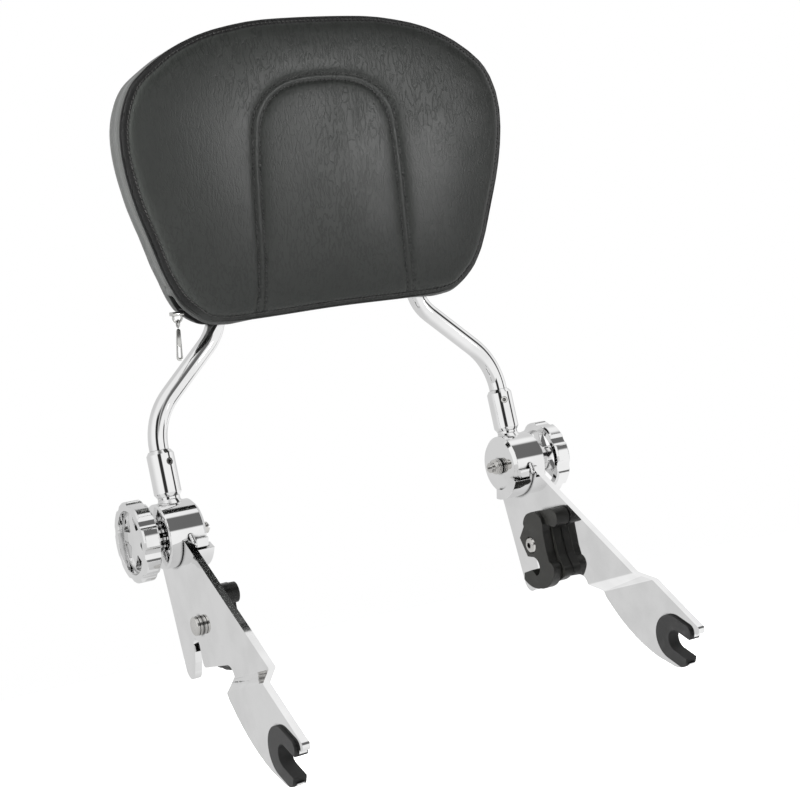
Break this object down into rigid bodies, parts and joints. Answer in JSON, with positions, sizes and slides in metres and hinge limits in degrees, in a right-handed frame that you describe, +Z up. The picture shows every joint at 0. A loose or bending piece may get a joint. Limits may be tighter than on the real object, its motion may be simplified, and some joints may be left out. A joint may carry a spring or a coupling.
{
  "type": "motorcycle backrest",
  "caption": "Detachable padded passenger backrest on a bent chrome hoop, with knob-clamped tilt hubs and joggled side plates that notch over docking posts and latch.",
  "frame": {"origin": "midway between the side plates, on the axis of the front docking notches", "axes": "+X to the rider's right along the docking axis, +Y rearward, +Z up along the uprights"},
  "size_m": [0.3286, 0.18, 0.4704],
  "materials": {
    "pad_cover": "satin grained vinyl",
    "board": "matte",
    "zip_tape": "matte woven",
    "zip_metal": "dark plated",
    "chrome": "polished",
    "rubber": "matte",
    "latch_black": "satin moulded",
    "bright_steel": "zinc plated"
  },
  "bodies": {
    "left_mount": {"left_side_plate": "chrome", "left_stop_cup": "chrome", "left_notch_rubber": "rubber", "left_latch_base": "latch_black", "left_latch_screw": "bright_steel", "left_latch_stud": "bright_steel", "left_latch_spring": "bright_steel"},
    "backrest": {"pad_cushion": "pad_cover", "pad_backboard": "board", "zipper_tape": "zip_tape", "upright_hoop": "chrome", "left_hub_drum": "chrome", "left_sleeve": "chrome", "left_sleeve_screw": "bright_steel", "right_hub_drum": "chrome", "right_sleeve": "chrome", "right_sleeve_screw": "bright_steel"},
    "right_mount": {"right_side_plate": "chrome", "right_stop_cup": "chrome", "right_notch_rubber": "rubber", "right_latch_base": "latch_black", "right_latch_screw": "bright_steel", "right_latch_stud": "bright_steel", "right_latch_spring": "bright_steel"},
    "left_clamp": {"left_knob": "chrome", "left_clamp_stud": "chrome", "left_lock_ring": "chrome"},
    "right_clamp": {"right_knob": "chrome", "right_clamp_stud": "chrome", "right_lock_ring": "chrome"},
    "left_hook": {"left_latch_hook": "latch_black"},
    "right_hook": {"right_latch_hook": "latch_black"},
    "zip_slider": {"zipper_slider": "zip_metal"},
    "zip_pull": {"zipper_pull": "zip_metal"}
  },
  "joints": [
    {"name": "backrest_tilt", "type": "hinge", "parent": "left_mount", "child": "backrest", "pos_m": [0, 0.1305, 0.1355], "axis": [1, 0, 0], "range_deg": [-25, 4.5]},
    {"name": "right_mount_tilt", "type": "hinge", "parent": "backrest", "child": "right_mount", "pos_m": [0, 0.1305, 0.1355], "axis": [1, 0, 0], "range_deg": [-4.5, 25]},
    {"name": "left_knob_turn", "type": "hinge", "parent": "backrest", "child": "left_clamp", "pos_m": [0, 0.1305, 0.1355], "axis": [-1, 0, 0], "range_deg": [0, 270]},
    {"name": "right_knob_turn", "type": "hinge", "parent": "backrest", "child": "right_clamp", "pos_m": [0, 0.1305, 0.1355], "axis": [1, 0, 0], "range_deg": [0, 270]},
    {"name": "left_latch_turn", "type": "hinge", "parent": "left_mount", "child": "left_hook", "pos_m": [0, 0.11, 0.0763], "axis": [1, 0, 0], "range_deg": [-50, 0], "stiffness_Nm_per_rad": 0.2, "springref_deg": 17.19},
    {"name": "right_latch_turn", "type": "hinge", "parent": "right_mount", "child": "right_hook", "pos_m": [0, 0.11, 0.0763], "axis": [1, 0, 0], "range_deg": [-50, 0], "stiffness_Nm_per_rad": 0.2, "springref_deg": 17.19},
    {"name": "zip_slide", "type": "slide", "parent": "backrest", "child": "zip_slider", "axis": [1, 0, 0], "range_m": [0, 0.215]},
    {"name": "zip_pull_swing", "type": "hinge", "parent": "zip_slider", "child": "zip_pull", "pos_m": [-0.1108, 0.11016, 0.26865], "axis": [0, 1, 0], "range_deg": [-75, 75]}
  ],
  "couplings": [
    {"joint": "right_mount_tilt", "follows": "backrest_tilt", "ratio": -1}
  ]
}
